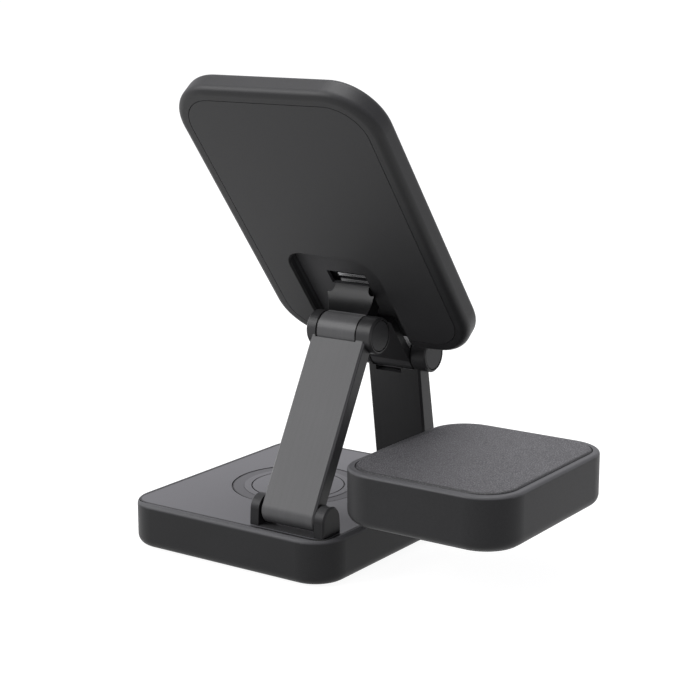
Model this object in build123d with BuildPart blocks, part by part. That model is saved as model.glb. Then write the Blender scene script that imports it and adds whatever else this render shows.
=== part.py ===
"""Folding three in one wireless charger: a weighted base with a charging disc, a rear arm that carries
a tilting phone plate, and a front arm under the plate that carries a square charging pad at the side.

Millimetres, +Z up, origin at the middle of the base on the table, +X to the side pad, +Y to the user.
All four hinge axes run along X."""

import os
from collections import namedtuple
from math import cos, radians, sin

from build123d import *

# Base
base_width = 81.0
base_depth = 92.8
base_height = 15.3
base_corner = 11.2
cover_corner = 6.5
base_floor = 1.8
base_rim = 1.8
base_ledge = 1.6
base_top_round = 1.5
base_low_round = 3.2
cover_thickness = 2.0
foot_thickness = 1.2
foot_proud = 0.3
foot_inset = 5.0

# Charging rings in the base cover
ring_centre_x = -3.4
ring_outer_radius = 22.4
ring_inner_radius = 18.2
ring_groove_depth = 0.9
ring_thickness = 0.8
disc_radius = 15.8

# Hinges
hinge_inset = 17.5
arm_width = 20.5
barrel_radius = 5.9
barrel_bevel = 0.5
upper_barrel_length = 24.8
upper_knuckle_length = 14.8
upper_knuckle_shift = -0.85
lower_barrel_length = 27.6
lower_knuckle_length = 15.8
barrel_pin_radius = 2.0
cap_radius = 4.75
cap_thickness = 1.0
cap_recess = 0.1
lower_barrel_radius = 4.3
lower_pin_radius = 1.5
sleeve_wall = 1.0
sleeve_end = 1.0
lug_thickness = 3.6
lug_radius = 4.5
lug_flare = 0.3
lug_bevel = 0.5
lug_pin_depth = 2.3
bracket_plate = 1.2
bracket_corner = 3.0
bracket_peg_radius = 1.4
bracket_peg_spacing = 14.0

# Rear arm
rear_hinge_inset = 8.6
rear_hinge_z = 20.0
rear_arm_length = 60.335
rear_arm_angle = 60.885
rear_arm_thickness = 5.4
rear_arm_sink = 4.67
arm_chamfer = 0.7

# Phone plate
plate_tilt = 37.5
plate_width = 73.2
plate_height = 108.5
plate_thickness = 8.0
plate_corner = 16.0
plate_back_round = 2.4
plate_front_round = 2.0
plate_standoff = 10.07
plate_rise = 36.85
plate_shift = 1.25
plate_wall = 1.8
plate_face = 1.6
panel_inset = 4.2
panel_thickness = 1.5
front_pad_inset = 3.5
front_pad_thickness = 0.6

# Hinge pocket in the plate's back
pocket_depth = 3.5
pocket_floor = 1.2
pocket_left = 20.5
pocket_right = 12.3
pocket_top = 22.85
pocket_left_corner = 6.0
pocket_right_corner = 10.0
pocket_bevel = 0.6
pocket_groove_width = 0.4
pocket_groove_depth = 0.5
window_width = 14.6
window_height = 5.6
window_x = -3.2
window_rise = 9.85
bar_width = 10.8
bar_height = 1.3
bar_thickness = 0.8
bar_pitch = 2.6

# Hinge leaves on the plate
upper_leaf_width = 18.0
upper_leaf_top_width = 13.3
upper_leaf_shift = -2.9
upper_leaf_foot = 5.6
upper_leaf_sag = 1.5
upper_leaf_ear = 2.4
upper_leaf_ear_curl = 0.8
leaf_neck_reach = 4.7
leaf_neck_sink = 1.8
knuckle_step = 0.1
lower_leaf_length = 11.0
lower_leaf_thickness = 2.6

# Front arm
lower_hinge_gap = 9.85
lower_hinge_depth = 1.35
front_arm_length = 35.5
front_arm_angle = 8.45
front_arm_thickness = 6.0
front_arm_rearward = 1.2
cable_slot_width = 10.0
cable_slot_height = 1.6
cable_slot_depth = 3.2
cable_slot_drop = 5.6
cable_slot_shift = -2.0

# Side pad
pad_width = 58.6
pad_depth = 70.4
pad_height = 17.4
pad_corner = 13.0
pad_reach = 50.35
pad_bottom_z = 23.6
pad_wall = 2.2
pad_deck = 1.8
pad_top_round = 1.0
pad_low_round = 3.4
pad_insert_inset = 2.2
pad_insert_thickness = 2.0
pad_insert_proud = 0.5
pad_insert_round = 0.8
pad_cover_thickness = 1.6
pad_tube_radius = 4.2
pad_leaf_thickness = 2.5
pad_leaf_width = 32.0
pad_leaf_height = 11.0
leaf_screw_inset = 3.5
leaf_screw_spacing = 10.5
pad_tube_overhang = 3.0
pad_pin_reach = 30.0

# Inner pieces
coil_thickness = 1.2
coil_inner_radius = 9.0
base_coil_radius = 20.0
plate_coil_radius = 20.5
pad_coil_radius = 19.0
ferrite_thickness = 0.6
ferrite_margin = 1.5
magnet_count = 16
magnet_inner_radius = 23.5
magnet_outer_radius = 27.0
magnet_thickness = 1.4
magnet_gap = 1.4
plate_coil_rise = 12.0
board_thickness = 1.2
base_board_width = 56.0
base_board_depth = 16.0
board_post_height = 2.4
board_post_radius = 1.5
board_post_inset = 2.4
board_gap = 0.5
plate_board_width = 40.0
plate_board_height = 8.0
pad_board_width = 26.0
pad_board_depth = 14.0
ballast_thickness = 4.0
ballast_gap = 1.0
socket_width = 9.0
socket_height = 3.2
socket_depth = 7.4
socket_wall = 0.4
socket_seat = 2.0
socket_tongue_width = 6.3
socket_tongue_height = 0.64
socket_tongue_recess = 1.0
chip_size = 6.0
chip_height = 1.0

# Fasteners
screw_radius = 1.1
screw_head_radius = 2.0
screw_head_height = 1.0
screw_bite = 4.0
screw_slot_width = 0.6
screw_slot_share = 0.65
small_screw_radius = 0.8
small_screw_head_radius = 1.5
small_screw_head_height = 0.7
boss_radius = 2.6
boss_inset = 2.9
pad_boss_inset = 2.5

# Clearances
seam = 0.2
line_gap = 0.35
fit_gap = 0.04
side_gap = 0.4
swing_gap = 0.4

# Hinge axes and planes, worked out from the sizes above
rear_angle = radians(rear_arm_angle)
tilt = radians(plate_tilt)
front_angle = radians(front_arm_angle)
plate_up = Vector(0, -sin(tilt), cos(tilt))
plate_out = Vector(0, cos(tilt), sin(tilt))
rear_along = Vector(0, cos(rear_angle), sin(rear_angle))
front_along = Vector(0, sin(front_angle), -cos(front_angle))
axis_x = Vector(1, 0, 0)

hinge_x = base_width / 2 - hinge_inset
rear_hinge_y = rear_hinge_inset - base_depth / 2
pad_x = hinge_x + pad_reach
rear_axis = Vector(hinge_x, rear_hinge_y, rear_hinge_z)
plate_axis = rear_axis + rear_along * rear_arm_length
plate_front = (
    plate_axis
    + plate_up * plate_rise
    + plate_out * (plate_standoff + plate_thickness)
    + axis_x * plate_shift
)
lower_axis = (
    plate_front
    - axis_x * plate_shift
    - plate_up * (plate_height / 2 + lower_hinge_gap)
    - plate_out * lower_hinge_depth
)
pad_axis = lower_axis + front_along * front_arm_length

rear_arm_plane = Plane(origin=rear_axis, x_dir=rear_along, z_dir=axis_x)
front_arm_plane = Plane(origin=lower_axis, x_dir=front_along, z_dir=axis_x)
plate_plane = Plane(origin=plate_front, x_dir=axis_x, z_dir=-plate_out)
upper_leaf_plane = Plane(origin=plate_axis, x_dir=plate_up, z_dir=axis_x)
lower_leaf_plane = Plane(origin=lower_axis, x_dir=plate_up, z_dir=axis_x)
rear_hinge_plane = Plane(origin=rear_axis, x_dir=(0, 1, 0), z_dir=axis_x)
pad_hinge_plane = Plane(origin=pad_axis, x_dir=(0, 1, 0), z_dir=axis_x)

arm_half = arm_width / 2
cap_seat = cap_thickness + cap_recess

# A barrel hinge: the fork's two outer knuckles from start to end, and the leaf's knuckle between them
Barrel = namedtuple("Barrel", "plane start end knuckle_start knuckle_end")
upper_barrel = Barrel(
    upper_leaf_plane,
    -upper_barrel_length / 2,
    upper_barrel_length / 2,
    upper_knuckle_shift - upper_knuckle_length / 2,
    upper_knuckle_shift + upper_knuckle_length / 2,
)
lower_barrel = Barrel(
    lower_leaf_plane,
    -lower_barrel_length / 2,
    lower_barrel_length / 2,
    -lower_knuckle_length / 2,
    lower_knuckle_length / 2,
)

base_inside_top = base_height - cover_thickness
base_inside_floor = foot_proud + base_floor
lug_inner = arm_half + side_gap
lug_outer = lug_inner + lug_thickness
bracket_width = 2 * lug_outer
bracket_depth = 2 * (lug_radius + lug_flare)
pocket_width = pocket_left + pocket_right
pocket_x = (pocket_right - pocket_left) / 2 - plate_shift
pocket_floor_level = plate_thickness - pocket_depth
pocket_bottom = -plate_height / 2
pocket_height = pocket_top - plate_rise - pocket_bottom
pad_front_y = pad_axis.Y - pad_tube_radius - swing_gap
pad_y = pad_front_y - pad_depth / 2
pad_top_z = pad_bottom_z + pad_height
pad_rim_z = pad_top_z - pad_insert_proud
pad_deck_z = pad_rim_z - (pad_insert_thickness - pad_insert_proud)
pad_inside_top = pad_deck_z - pad_deck
pad_inside_low = pad_bottom_z + pad_cover_thickness
pad_pin_end = arm_half + side_gap + pad_pin_reach

pieces = []


def finish(builder, name):
    """Labels a finished piece and keeps it for export."""
    builder.part.label = name
    pieces.append(builder.part)


def inset_rectangle(width, depth, corner, inset):
    """A rounded rectangle brought in by an inset all round, inside a sketch block."""
    RectangleRounded(width - 2 * inset, depth - 2 * inset, corner - inset)


def plate_spot(rise, depth):
    """A plane parallel to the plate, some way up from its middle and behind its front face, facing back."""
    return Plane(origin=plate_front + plate_up * rise - plate_out * depth, x_dir=axis_x, z_dir=-plate_out)


def across(plane, start):
    """The plane moved along the hinge axis to a distance from the hinge's middle."""
    return plane.offset(start)


def screw_group(places, shank_radius, head_radius, head_height, length, name):
    """Pan head screws, one on each plane of the list, with the head on the plane and the shank under it."""
    with BuildPart() as screws:
        for place in places:
            with BuildSketch(place):
                Circle(head_radius)
            extrude(amount=head_height)
            with BuildSketch(place):
                Circle(shank_radius)
            extrude(amount=-length)
            with BuildSketch(place.offset(head_height)):
                Rectangle(2 * head_radius * screw_slot_share, screw_slot_width)
            extrude(amount=-head_height / 2, mode=Mode.SUBTRACT)
    finish(screws, name)


def coil_piece(plane, outer_radius, name):
    """A flat wound copper coil that stands on the plane."""
    with BuildPart() as coil:
        with BuildSketch(plane):
            Circle(outer_radius)
            Circle(coil_inner_radius, mode=Mode.SUBTRACT)
        extrude(amount=coil_thickness)
    finish(coil, name)


def ferrite_piece(plane, outer_radius, name):
    """A ferrite sheet on the coil."""
    with BuildPart() as ferrite:
        with BuildSketch(plane):
            Circle(outer_radius + ferrite_margin)
        extrude(amount=ferrite_thickness)
    finish(ferrite, name)


def board_piece(plane, width, depth, name):
    """A circuit board that stands on the plane, with two chips on it."""
    with BuildPart() as board:
        with BuildSketch(plane):
            Rectangle(width, depth)
        extrude(amount=board_thickness)
        with BuildSketch(plane.offset(board_thickness)):
            with GridLocations(width / 2, 0, 2, 1):
                Rectangle(chip_size, chip_size)
        extrude(amount=chip_height)
    finish(board, name)


# Base shell: a tub with a rounded rim, a ledge for the cover and a pocket for the foot
boss_x = base_width / 2 - base_rim - base_ledge - boss_radius - boss_inset
boss_y = base_depth / 2 - base_rim - base_ledge - boss_radius - boss_inset
board_y = boss_y - boss_radius - base_board_depth / 2 - board_gap
board_floor = base_inside_floor + board_post_height
socket_z = board_floor + board_thickness + socket_height / 2
socket_face_x = -base_width / 2
post_span_x = base_board_width - 2 * board_post_inset
post_span_y = base_board_depth - 2 * board_post_inset

with BuildPart() as base_shell:
    with BuildSketch(Plane.XY.offset(foot_proud)):
        RectangleRounded(base_width, base_depth, base_corner)
    extrude(amount=base_height - foot_proud)
    fillet(base_shell.faces().sort_by(Axis.Z)[-1].edges(), base_top_round)
    fillet(base_shell.faces().sort_by(Axis.Z)[0].edges(), base_low_round)
    with BuildSketch(Plane.XY.offset(base_height)):
        RectangleRounded(base_width - 2 * base_rim, base_depth - 2 * base_rim, cover_corner)
    extrude(amount=-cover_thickness, mode=Mode.SUBTRACT)
    with BuildSketch(Plane.XY.offset(base_inside_floor)):
        cavity_inset = base_rim + base_ledge
        inset_rectangle(base_width, base_depth, base_corner, cavity_inset)
    extrude(amount=base_inside_top - base_inside_floor, mode=Mode.SUBTRACT)
    with BuildSketch(Plane.XY.offset(foot_proud)):
        inset_rectangle(base_width, base_depth, base_corner, foot_inset)
    extrude(amount=foot_thickness - foot_proud, mode=Mode.SUBTRACT)
    with BuildSketch(Plane.XY.offset(base_inside_floor)):
        with Locations((0, board_y)):
            with GridLocations(post_span_x, post_span_y, 2, 2):
                Circle(board_post_radius)
    extrude(amount=board_post_height)
    with BuildSketch(Plane.YZ.offset(socket_face_x)):
        with Locations((board_y, socket_z)):
            RectangleRounded(socket_width + 2 * seam, socket_height + 2 * seam, (socket_height + seam) / 2)
    extrude(amount=socket_depth, mode=Mode.SUBTRACT)
    with BuildSketch(Plane.XY.offset(foot_proud)):
        with GridLocations(2 * boss_x, 2 * boss_y, 2, 2):
            Circle(screw_radius + fit_gap)
    extrude(amount=base_floor, mode=Mode.SUBTRACT)
finish(base_shell, "base_shell")

with BuildPart() as base_foot:
    with BuildSketch(Plane.XY):
        inset_rectangle(base_width, base_depth, base_corner, foot_inset + seam)
    extrude(amount=foot_thickness)
    with BuildSketch(Plane.XY.offset(foot_thickness)):
        with GridLocations(2 * boss_x, 2 * boss_y, 2, 2):
            Circle(screw_head_radius + seam)
    extrude(amount=-screw_head_height - seam, mode=Mode.SUBTRACT)
finish(base_foot, "base_foot")

# Base cover: a flush panel with the ring groove, the disc seat, the hinge seat and four screw bosses
with BuildPart() as base_cover:
    with BuildSketch(Plane.XY.offset(base_inside_top)):
        cover_edge = base_rim + seam
        RectangleRounded(base_width - 2 * cover_edge, base_depth - 2 * cover_edge, cover_corner - seam)
    extrude(amount=cover_thickness)
    with BuildSketch(Plane.XY.offset(base_height)):
        with Locations((ring_centre_x, 0)):
            Circle(ring_outer_radius)
            Circle(ring_inner_radius, mode=Mode.SUBTRACT)
            Circle(disc_radius)
    extrude(amount=-ring_groove_depth, mode=Mode.SUBTRACT)
    with BuildSketch(Plane.XY.offset(base_height)):
        with Locations((hinge_x, rear_hinge_y)):
            RectangleRounded(bracket_width + 2 * seam, bracket_depth + 2 * seam, bracket_corner + seam)
    extrude(amount=-bracket_plate, mode=Mode.SUBTRACT)
    with BuildSketch(Plane.XY.offset(base_inside_top)):
        with GridLocations(2 * boss_x, 2 * boss_y, 2, 2):
            Circle(boss_radius)
    extrude(amount=base_inside_floor - base_inside_top)
    with BuildSketch(Plane.XY.offset(base_inside_floor)):
        with GridLocations(2 * boss_x, 2 * boss_y, 2, 2):
            Circle(screw_radius + fit_gap)
    extrude(amount=screw_bite + seam, mode=Mode.SUBTRACT)
    with BuildSketch(Plane.XY.offset(base_inside_top)):
        with Locations((hinge_x, rear_hinge_y)):
            with GridLocations(bracket_peg_spacing, 0, 2, 1):
                Circle(bracket_peg_radius + fit_gap)
    extrude(amount=cover_thickness, mode=Mode.SUBTRACT)
finish(base_cover, "base_cover")

screw_group(
    [
        Plane(origin=(i * boss_x, j * boss_y, foot_thickness), x_dir=(1, 0, 0), z_dir=(0, 0, -1))
        for i in (-1, 1)
        for j in (-1, 1)
    ],
    screw_radius,
    screw_head_radius,
    screw_head_height,
    base_inside_floor - foot_thickness + screw_bite,
    "base_screws",
)

with BuildPart() as charging_ring:
    with BuildSketch(Plane.XY.offset(base_height - ring_groove_depth)):
        with Locations((ring_centre_x, 0)):
            Circle(ring_outer_radius - line_gap)
            Circle(ring_inner_radius + 2 * fit_gap, mode=Mode.SUBTRACT)
    extrude(amount=ring_thickness)
finish(charging_ring, "charging_ring")

with BuildPart() as charging_disc:
    with BuildSketch(Plane.XY.offset(base_height - ring_groove_depth)):
        with Locations((ring_centre_x, 0)):
            Circle(disc_radius - line_gap)
    extrude(amount=ring_groove_depth)
finish(charging_disc, "charging_disc")

base_coil_plane = Plane(origin=(ring_centre_x, 0, base_inside_top), x_dir=(1, 0, 0), z_dir=(0, 0, -1))
coil_piece(base_coil_plane, base_coil_radius, "base_coil")
ferrite_piece(base_coil_plane.offset(coil_thickness), base_coil_radius, "base_ferrite")

ballast_front = board_y - base_board_depth / 2 - ballast_gap
ballast_rear = cavity_inset + ballast_gap - base_depth / 2
with BuildPart() as ballast_plate:
    with BuildSketch(Plane.XY.offset(base_inside_floor)):
        with Locations((0, (ballast_front + ballast_rear) / 2)):
            Rectangle(base_width - 2 * (cavity_inset + ballast_gap), ballast_front - ballast_rear)
        with Locations((-boss_x, -boss_y), (boss_x, -boss_y)):
            Rectangle(4 * boss_radius, 4 * boss_radius, mode=Mode.SUBTRACT)
    extrude(amount=ballast_thickness)
finish(ballast_plate, "ballast_plate")

board_piece(Plane(origin=(0, board_y, board_floor)), base_board_width, base_board_depth, "base_board")

with BuildPart() as usb_socket:
    with BuildSketch(Plane.YZ.offset(socket_face_x + seam)):
        with Locations((board_y, socket_z)):
            RectangleRounded(socket_width, socket_height, socket_height / 2 - fit_gap)
    extrude(amount=(base_width - base_board_width) / 2 + socket_seat)
    with BuildSketch(Plane.YZ.offset(socket_face_x + seam)):
        with Locations((board_y, socket_z)):
            inner_height = socket_height - 2 * socket_wall
            RectangleRounded(socket_width - 2 * socket_wall, inner_height, inner_height / 2 - fit_gap)
    extrude(amount=socket_depth, mode=Mode.SUBTRACT)
    with BuildSketch(Plane.YZ.offset(socket_face_x + socket_tongue_recess)):
        with Locations((board_y, socket_z)):
            Rectangle(socket_tongue_width, socket_tongue_height)
    extrude(amount=socket_depth)
finish(usb_socket, "usb_socket")

# Rear hinge: a seat with two lugs, a pin and a friction sleeve
with BuildPart() as rear_hinge_bracket:
    with BuildSketch(Plane.XY.offset(base_height - bracket_plate)):
        with Locations((hinge_x, rear_hinge_y)):
            RectangleRounded(bracket_width, bracket_depth, bracket_corner)
    extrude(amount=bracket_plate)
    with BuildSketch(Plane.XY.offset(base_height - bracket_plate)):
        with Locations((hinge_x, rear_hinge_y)):
            with GridLocations(bracket_peg_spacing, 0, 2, 1):
                Circle(bracket_peg_radius)
    extrude(amount=-(cover_thickness - bracket_plate))
    lug_drop = rear_hinge_z - base_height
    for side in (-1, 1):
        with BuildSketch(across(rear_hinge_plane, side * (lug_outer - lug_bevel))) as lug:
            Circle(lug_radius)
            with BuildLine():
                Polyline(
                    (-lug_radius - lug_flare, -lug_drop),
                    (lug_radius + lug_flare, -lug_drop),
                    (lug_radius, 0),
                    (-lug_radius, 0),
                    close=True,
                )
            make_face()
        extrude(amount=side * (lug_bevel - lug_thickness))
        extrude(lug.sketch, amount=side * lug_bevel, taper=45)
    with BuildSketch(across(rear_hinge_plane, -lug_inner - lug_pin_depth)):
        Circle(lower_pin_radius + fit_gap)
    extrude(amount=2 * (lug_inner + lug_pin_depth), mode=Mode.SUBTRACT)
finish(rear_hinge_bracket, "rear_hinge_bracket")


def round_piece(plane, radius, start, end, name, bore=0.0):
    """A pin, sleeve or disc along the hinge axis, from one place on it to another."""
    with BuildPart() as turned:
        with BuildSketch(across(plane, start)):
            Circle(radius)
            if bore:
                Circle(bore, mode=Mode.SUBTRACT)
        extrude(amount=end - start)
    finish(turned, name)


def turned(plane, radius, start, end, mode):
    """Adds or cuts a cylinder along the hinge axis, inside a part block."""
    with BuildSketch(across(plane, start)) as section:
        Circle(radius)
    extrude(section.sketch, amount=end - start, mode=mode)


def cap_pair(barrel, name):
    """The two flush discs that close a barrel's ends."""
    with BuildPart() as caps:
        for start in (barrel.start + cap_recess, barrel.end - cap_seat):
            turned(barrel.plane, cap_radius, start, start + cap_thickness, Mode.ADD)
    finish(caps, name)


def barrel_pin(barrel, name):
    """The pin of a barrel hinge, between its two caps."""
    start = barrel.start + cap_seat + seam
    round_piece(barrel.plane, barrel_pin_radius, start, barrel.end - cap_seat - seam, name)


def barrel_sleeve(barrel, name):
    """The friction sleeve on a barrel hinge's pin, pressed into the leaf's knuckle."""
    start = barrel.knuckle_start + sleeve_end
    end = barrel.knuckle_end - sleeve_end
    round_piece(barrel.plane, barrel_sleeve_radius, start, end, name, barrel_pin_radius + fit_gap)


def fork(barrel):
    """Adds the two outer knuckles at an arm's upper end and clears the middle one, inside a part block."""
    inner_start = barrel.knuckle_start - side_gap
    inner_end = barrel.knuckle_end + side_gap
    bevel_start = barrel.start + barrel_bevel
    bevel_end = barrel.end - barrel_bevel
    turned(barrel.plane, barrel_radius, bevel_start, inner_start, Mode.ADD)
    turned(barrel.plane, barrel_radius, inner_end, bevel_end, Mode.ADD)
    for place, reach in ((bevel_start, -barrel_bevel), (bevel_end, barrel_bevel)):
        with BuildSketch(across(barrel.plane, place)) as end_face:
            Circle(barrel_radius)
        extrude(end_face.sketch, amount=reach, taper=45)
    turned(barrel.plane, barrel_radius + swing_gap, inner_start, inner_end, Mode.SUBTRACT)
    turned(barrel.plane, barrel_pin_radius + fit_gap, barrel.start, barrel.end, Mode.SUBTRACT)
    for start in (barrel.start, barrel.end - cap_seat):
        turned(barrel.plane, cap_radius + line_gap, start, start + cap_seat, Mode.SUBTRACT)


def knuckle(barrel):
    """Adds a leaf's middle knuckle and bores it for the pin and its sleeve, inside a part block."""
    start = barrel.knuckle_start
    end = barrel.knuckle_end
    sleeve_room = sleeve_end - fit_gap
    turned(barrel.plane, barrel_radius - knuckle_step, start, end, Mode.ADD)
    sleeve_bore = barrel_sleeve_radius + fit_gap
    turned(barrel.plane, sleeve_bore, start + sleeve_room, end - sleeve_room, Mode.SUBTRACT)
    turned(barrel.plane, barrel_pin_radius + fit_gap, start, end, Mode.SUBTRACT)


pin_end = lug_inner + lug_pin_depth - seam
round_piece(rear_hinge_plane, lower_pin_radius, -pin_end, pin_end, "rear_hinge_pin")
lower_sleeve_radius = lower_pin_radius + fit_gap + sleeve_wall
barrel_sleeve_radius = barrel_pin_radius + fit_gap + sleeve_wall
round_piece(
    rear_hinge_plane,
    lower_sleeve_radius,
    -arm_half + sleeve_end,
    arm_half - sleeve_end,
    "rear_hinge_sleeve",
    lower_pin_radius + fit_gap,
)


# Rear arm: a flat bar, round at the foot, with a fork for the plate's hinge at the top
with BuildPart() as rear_arm:
    with BuildSketch(rear_arm_plane):
        Circle(lower_barrel_radius)
        with BuildLine():
            Polyline(
                (0, lower_barrel_radius),
                (rear_arm_length, rear_arm_sink),
                (rear_arm_length, rear_arm_sink - rear_arm_thickness),
                (0, lower_barrel_radius - rear_arm_thickness),
                close=True,
            )
        make_face()
    extrude(amount=arm_half, both=True)
    chamfer(rear_arm.faces().filter_by(Axis.X).edges(), arm_chamfer)
    fork(upper_barrel)
    with BuildSketch(rear_arm_plane):
        Circle(lower_pin_radius + 2 * fit_gap)
    extrude(amount=arm_half, both=True, mode=Mode.SUBTRACT)
    with BuildSketch(rear_arm_plane):
        Circle(lower_sleeve_radius + fit_gap)
    extrude(amount=arm_half - sleeve_end + fit_gap, both=True, mode=Mode.SUBTRACT)
finish(rear_arm, "rear_arm")

barrel_pin(upper_barrel, "plate_hinge_pin")
barrel_sleeve(upper_barrel, "plate_hinge_sleeve")
cap_pair(upper_barrel, "plate_hinge_caps")

# Phone plate frame: a shallow tub, open at the back and notched at its foot for the hinge pocket
panel_level = plate_thickness - panel_thickness
with BuildPart() as plate_frame:
    with BuildSketch(plate_plane):
        RectangleRounded(plate_width, plate_height, plate_corner)
    extrude(amount=plate_thickness)
    through_plate = Axis(plate_front, -plate_out)
    fillet(plate_frame.faces().sort_by(through_plate)[-1].edges(), plate_back_round)
    fillet(plate_frame.faces().sort_by(through_plate)[0].edges(), plate_front_round)
    with BuildSketch(plate_plane.offset(panel_level)):
        inset_rectangle(plate_width, plate_height, plate_corner, panel_inset)
    extrude(amount=panel_thickness, mode=Mode.SUBTRACT)
    with BuildSketch(plate_plane.offset(plate_face)):
        inner_inset = panel_inset + plate_wall
        inset_rectangle(plate_width, plate_height, plate_corner, inner_inset)
    extrude(amount=panel_level - plate_face, mode=Mode.SUBTRACT)
    with BuildSketch(plate_plane):
        inset_rectangle(plate_width, plate_height, plate_corner, front_pad_inset)
    extrude(amount=front_pad_thickness, mode=Mode.SUBTRACT)
    with BuildSketch(plate_plane.offset(pocket_floor_level - pocket_floor - seam)):
        with Locations((pocket_x, pocket_bottom)):
            Rectangle(pocket_width + 2 * (pocket_floor + seam), 2 * (inner_inset + plate_wall))
    extrude(amount=plate_thickness, mode=Mode.SUBTRACT)
finish(plate_frame, "plate_frame")

with BuildPart() as front_pad:
    with BuildSketch(plate_plane):
        inset_rectangle(plate_width, plate_height, plate_corner, front_pad_inset + seam)
    extrude(amount=front_pad_thickness)
finish(front_pad, "front_pad")


def pocket_outline(grow, mode=Mode.ADD):
    """The hinge pocket's outline on the plate, grown by a wall: square at the foot, rounded at the top."""
    left = pocket_x - pocket_width / 2 - grow
    right = pocket_x + pocket_width / 2 + grow
    top = pocket_bottom + pocket_height + grow
    left_round = pocket_left_corner + grow
    right_round = pocket_right_corner + grow
    with BuildLine() as outline:
        Polyline(
            (left, top - left_round),
            (left, pocket_bottom),
            (right, pocket_bottom),
            (right, top - right_round),
        )
        RadiusArc((right, top - right_round), (right - right_round, top), -right_round)
        Line((right - right_round, top), (left + left_round, top))
        RadiusArc((left + left_round, top), (left, top - left_round), -left_round)
    make_face(outline.edges(), mode=mode)


# Back panel with the hinge pocket pressed into it and a window in the pocket's floor
with BuildPart() as back_panel:
    with BuildSketch(plate_plane.offset(panel_level)):
        inset_rectangle(plate_width, plate_height, plate_corner, panel_inset + seam)
    extrude(amount=panel_thickness)
    with BuildSketch(plate_plane.offset(pocket_floor_level - pocket_floor)):
        pocket_outline(pocket_floor)
    extrude(amount=pocket_depth + pocket_floor)
    with BuildSketch(plate_plane.offset(pocket_floor_level)):
        pocket_outline(0)
    extrude(amount=pocket_depth, mode=Mode.SUBTRACT)
    with BuildSketch(plate_plane.offset(plate_thickness)):
        pocket_outline(pocket_bevel)
    extrude(amount=-pocket_bevel, taper=45, mode=Mode.SUBTRACT)
    with BuildSketch(plate_plane.offset(pocket_floor_level)):
        pocket_outline(0)
        pocket_outline(-pocket_groove_width, Mode.SUBTRACT)
    extrude(amount=-pocket_groove_depth, mode=Mode.SUBTRACT)
    with BuildSketch(plate_plane.offset(pocket_floor_level)):
        with Locations((window_x - plate_shift, window_rise - plate_rise)):
            Rectangle(window_width, window_height)
    extrude(amount=-pocket_floor, mode=Mode.SUBTRACT)
    with BuildSketch(plate_plane):
        with Locations((pocket_x, pocket_bottom - plate_height / 4)):
            Rectangle(plate_width, plate_height / 2 + 2 * plate_back_round)
    extrude(amount=plate_thickness, mode=Mode.SUBTRACT)
finish(back_panel, "back_panel")

with BuildPart() as contact_bars:
    with BuildSketch(plate_plane.offset(pocket_floor_level - pocket_floor)):
        bar_x = window_x + (window_width - bar_width) / 2
        with Locations((bar_x - plate_shift, window_rise - plate_rise)):
            with GridLocations(0, bar_pitch, 1, 2):
                Rectangle(bar_width, bar_height)
    extrude(amount=bar_thickness)
finish(contact_bars, "contact_bars")

# Upper leaf: a flared ramp from the pocket floor, under the window, to the middle knuckle of the hinge
leaf_reach = plate_standoff + pocket_depth
leaf_top = window_rise - window_height / 2
ear_left = upper_leaf_shift - upper_leaf_width / 2
ear_right = upper_leaf_shift + upper_leaf_width / 2
ear_reach = leaf_reach - upper_leaf_ear
top_left = upper_leaf_shift - upper_leaf_top_width / 2
top_right = upper_leaf_shift + upper_leaf_top_width / 2
curl_reach = (leaf_reach + ear_reach) / 2 - upper_leaf_ear_curl
with BuildPart() as upper_leaf:
    with BuildSketch(across(upper_leaf_plane, ear_left)):
        with BuildLine():
            ThreePointArc(
                (leaf_neck_reach, -leaf_neck_sink),
                ((leaf_neck_reach + leaf_top) / 2 - upper_leaf_sag, -(leaf_reach + leaf_neck_sink) / 2),
                (leaf_top, -leaf_reach),
            )
            Polyline(
                (leaf_top, -leaf_reach),
                (leaf_top - upper_leaf_foot, -leaf_reach),
                (-leaf_neck_sink, -leaf_neck_reach),
                (leaf_neck_reach, -leaf_neck_sink),
            )
        make_face()
    extrude(amount=upper_barrel.knuckle_end - ear_left)
    with BuildSketch(Plane(origin=plate_axis, x_dir=axis_x, z_dir=plate_up)):
        with BuildLine():
            Polyline(
                (ear_left, ear_reach),
                (upper_barrel.knuckle_start, leaf_neck_reach),
                (upper_barrel.knuckle_start, 0),
                (upper_barrel.knuckle_end, 0),
                (upper_barrel.knuckle_end, leaf_neck_reach),
                (ear_right, ear_reach),
            )
            ThreePointArc(
                (ear_right, ear_reach),
                ((ear_right + top_right) / 2 - upper_leaf_ear_curl, curl_reach),
                (top_right, leaf_reach),
            )
            Line((top_right, leaf_reach), (top_left, leaf_reach))
            ThreePointArc(
                (top_left, leaf_reach),
                ((ear_left + top_left) / 2 + upper_leaf_ear_curl, curl_reach),
                (ear_left, ear_reach),
            )
        make_face()
    extrude(amount=leaf_reach, both=True, mode=Mode.INTERSECT)
    turned(
        upper_leaf_plane, barrel_radius + swing_gap, ear_left, upper_barrel.knuckle_start, Mode.SUBTRACT
    )
    knuckle(upper_barrel)
finish(upper_leaf, "upper_leaf")

# Lower leaf: the middle knuckle under the plate's foot and a tongue on the pocket's floor
with BuildPart() as lower_leaf:
    with BuildSketch(across(lower_leaf_plane, lower_barrel.knuckle_start)):
        with BuildLine():
            tongue_front = pocket_floor_level - lower_hinge_depth
            Polyline(
                (0, tongue_front),
                (lower_hinge_gap + lower_leaf_length, tongue_front),
                (lower_hinge_gap + lower_leaf_length, tongue_front + lower_leaf_thickness),
                (0, tongue_front + lower_leaf_thickness),
                close=True,
            )
        make_face()
    extrude(amount=lower_knuckle_length)
    knuckle(lower_barrel)
finish(lower_leaf, "lower_leaf")

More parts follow.
